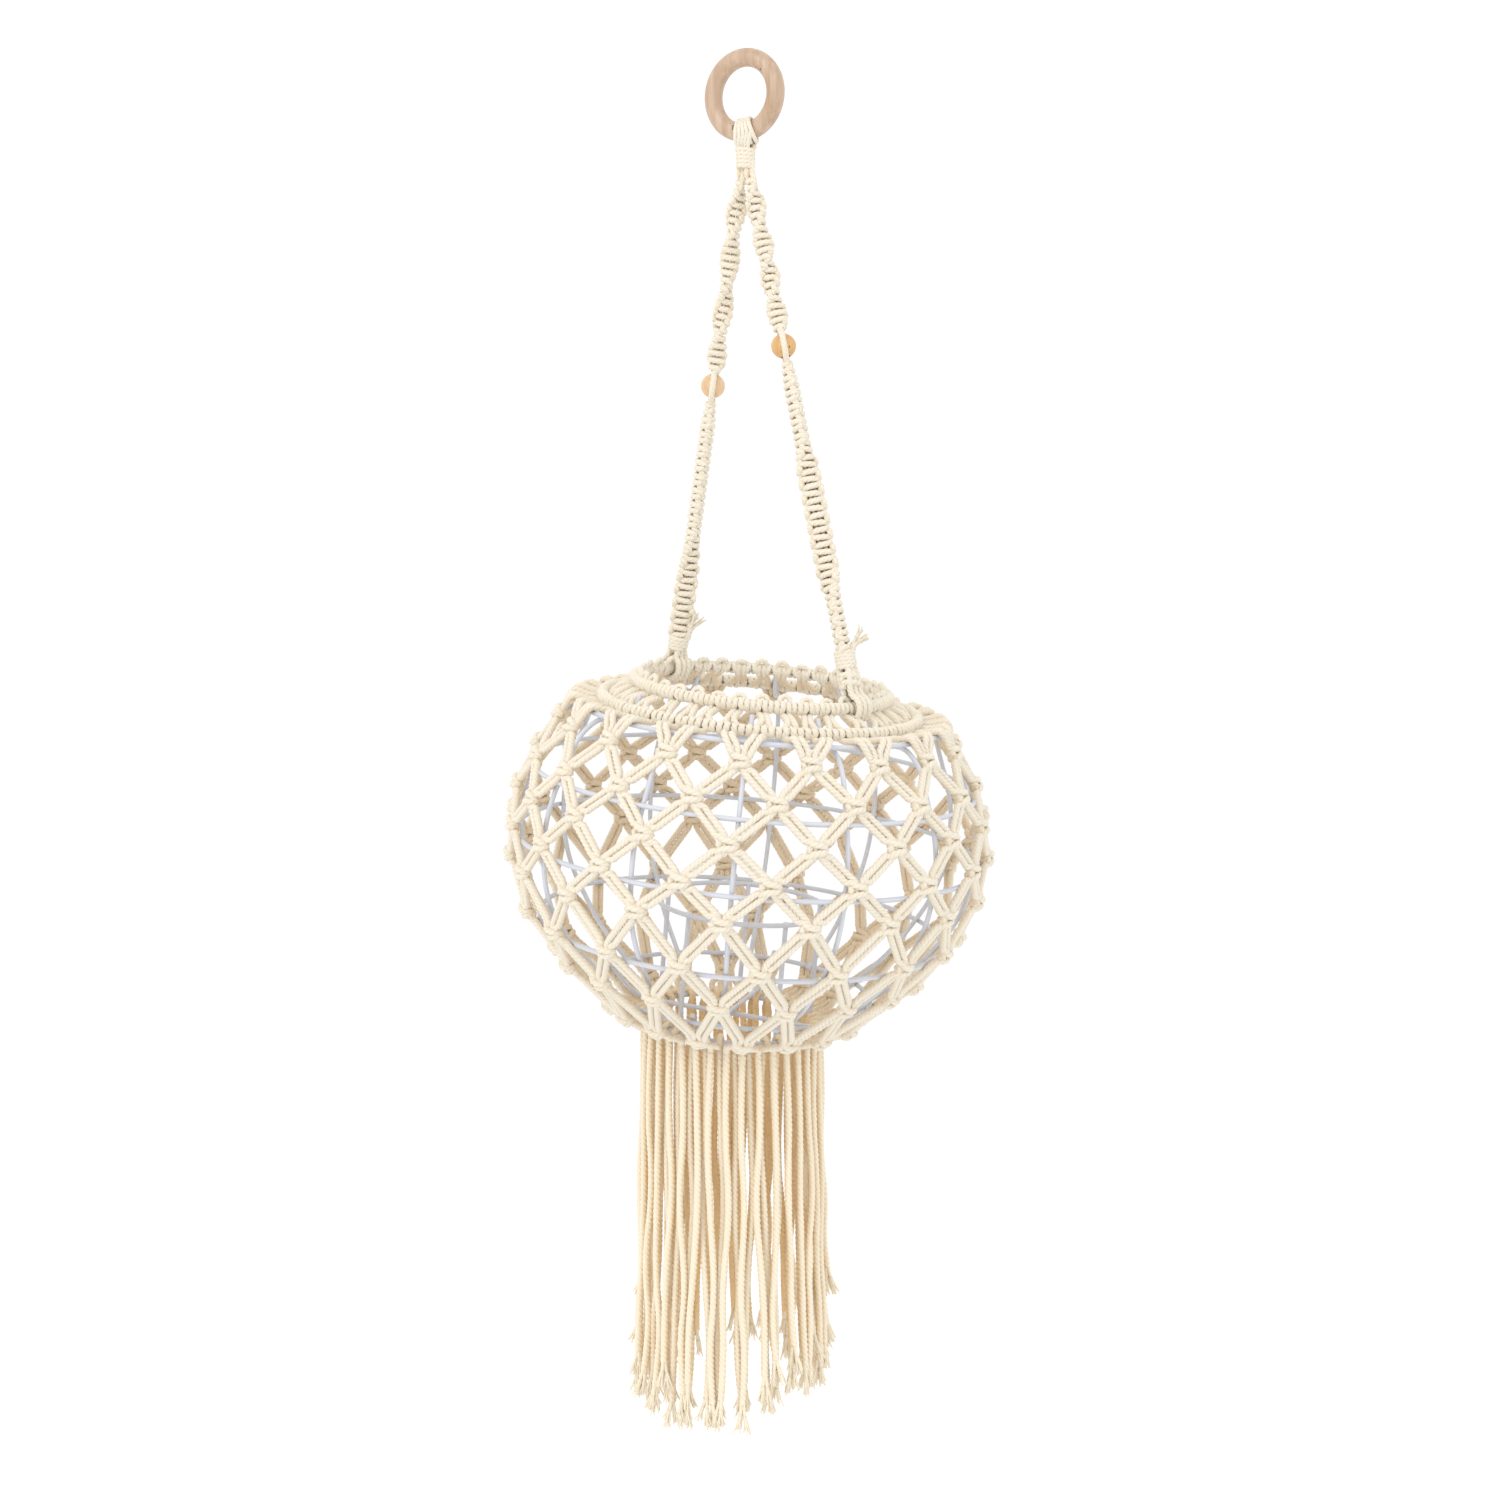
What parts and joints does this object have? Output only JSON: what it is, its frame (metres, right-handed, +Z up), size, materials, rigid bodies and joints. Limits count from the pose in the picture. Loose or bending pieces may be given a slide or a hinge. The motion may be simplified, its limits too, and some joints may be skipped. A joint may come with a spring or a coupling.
{
  "type": "hanging planter",
  "caption": "Hanging planter: a wooden ring, two knotted cotton straps with beads, a net-covered wire bowl with an inner pot cage, and a long cord fringe.",
  "frame": {"origin": "where the hook bears, at the inner top of the wooden ring", "axes": "+Z up; the two straps lie in the XZ plane, the longer one towards +X"},
  "size_m": [0.3081, 0.3074, 0.8518],
  "materials": {
    "ring_wood": "smooth light beech, satin",
    "left_bead_wood": "smooth pale wood, satin",
    "right_bead_wood": "smooth warm wood, satin",
    "cotton_cord": "natural twisted three-ply cotton, matt",
    "coated_wire": "white coated wire, semi-gloss"
  },
  "bodies": {
    "ring": {"hanging_ring": "ring_wood"},
    "loop": {"ring_loop": "cotton_cord"},
    "hanger": {"top_wrap": "cotton_cord", "left_core_cords": "cotton_cord", "right_core_cords": "cotton_cord", "left_spiral_sinnet": "cotton_cord", "right_spiral_sinnet": "cotton_cord", "left_square_sinnet": "cotton_cord", "right_square_sinnet": "cotton_cord"},
    "left_bead": {"left_bead": "left_bead_wood"},
    "right_bead": {"right_bead": "right_bead_wood"},
    "fringe_1": {"fringe_bundle_1": "cotton_cord"},
    "fringe_2": {"fringe_bundle_2": "cotton_cord"},
    "fringe_3": {"fringe_bundle_3": "cotton_cord"},
    "fringe_4": {"fringe_bundle_4": "cotton_cord"},
    "fringe_5": {"fringe_bundle_5": "cotton_cord"},
    "fringe_6": {"fringe_bundle_6": "cotton_cord"},
    "bowl": {"base_hoop": "coated_wire", "belly_hoop": "coated_wire", "cage_hoop": "coated_wire", "cage_upright_1": "coated_wire", "cage_upright_2": "coated_wire", "cage_upright_3": "coated_wire", "cage_upright_4": "coated_wire", "cage_upright_5": "coated_wire", "collar_legs": "cotton_cord", "cross_wire_1": "coated_wire", "cross_wire_2": "coated_wire", "fringe_hoop": "coated_wire", "left_end_wrap": "cotton_cord", "lower_hoop": "coated_wire", "net_row_a": "cotton_cord", "net_row_b": "cotton_cord", "net_row_c": "cotton_cord", "net_row_d": "cotton_cord", "net_row_e": "cotton_cord", "net_row_f": "cotton_cord", "net_row_g": "cotton_cord", "net_row_h": "cotton_cord", "rib_01": "coated_wire", "rib_02": "coated_wire", "rib_03": "coated_wire", "rib_04": "coated_wire", "rib_05": "coated_wire", "rib_06": "coated_wire", "rib_07": "coated_wire", "rib_08": "coated_wire", "rib_09": "coated_wire", "rib_10": "coated_wire", "rib_11": "coated_wire", "rib_12": "coated_wire", "right_end_wrap": "cotton_cord", "rim_hoop": "coated_wire", "rim_wrap": "cotton_cord", "shoulder_hoop": "coated_wire", "shoulder_wrap": "cotton_cord", "upper_hoop": "coated_wire", "upper_legs": "cotton_cord", "widest_hoop": "coated_wire"}
  },
  "joints": [
    {"name": "loop_round_ring", "type": "hinge", "parent": "ring", "child": "loop", "pos_m": [0, 0, -0.0168], "axis": [0.225, -0.9744, 0], "range_deg": [-40, 40]},
    {"name": "hanger_swing", "type": "hinge", "parent": "loop", "child": "hanger", "pos_m": [0, 0, -0.0392], "axis": [0.9744, 0.225, 0], "range_deg": [-55, 55]},
    {"name": "left_bead_spin", "type": "hinge", "parent": "hanger", "child": "left_bead", "pos_m": [-0.02794, 0, -0.19199], "axis": [-0.1954, 0, -0.9807], "continuous": true},
    {"name": "right_bead_spin", "type": "hinge", "parent": "hanger", "child": "right_bead", "pos_m": [0.03377, 0, -0.17075], "axis": [0.2652, 0, -0.9642], "continuous": true},
    {"name": "bowl_swing", "type": "hinge", "parent": "hanger", "child": "bowl", "pos_m": [0.01232, 0, -0.34876], "axis": [0.9995, 0, -0.0316], "range_deg": [-25, 25]},
    {"name": "fringe_1_swing", "type": "hinge", "parent": "bowl", "child": "fringe_1", "pos_m": [0.03551, 0.027, -0.597], "axis": [0.4963, -0.866, -0.0609], "range_deg": [0, 25]},
    {"name": "fringe_2_swing", "type": "hinge", "parent": "bowl", "child": "fringe_2", "pos_m": [-0.0109, 0.054, -0.5913], "axis": [0.9925, 0, -0.1219], "range_deg": [0, 25]},
    {"name": "fringe_3_swing", "type": "hinge", "parent": "bowl", "child": "fringe_3", "pos_m": [-0.05732, 0.027, -0.5856], "axis": [0.4963, 0.866, -0.0609], "range_deg": [0, 25]},
    {"name": "fringe_4_swing", "type": "hinge", "parent": "bowl", "child": "fringe_4", "pos_m": [-0.05732, -0.027, -0.5856], "axis": [-0.4963, 0.866, 0.0609], "range_deg": [0, 25]},
    {"name": "fringe_5_swing", "type": "hinge", "parent": "bowl", "child": "fringe_5", "pos_m": [-0.0109, -0.054, -0.5913], "axis": [-0.9925, 0, 0.1219], "range_deg": [0, 25]},
    {"name": "fringe_6_swing", "type": "hinge", "parent": "bowl", "child": "fringe_6", "pos_m": [0.03551, -0.027, -0.597], "axis": [-0.4963, -0.866, 0.0609], "range_deg": [0, 25]}
  ]
}
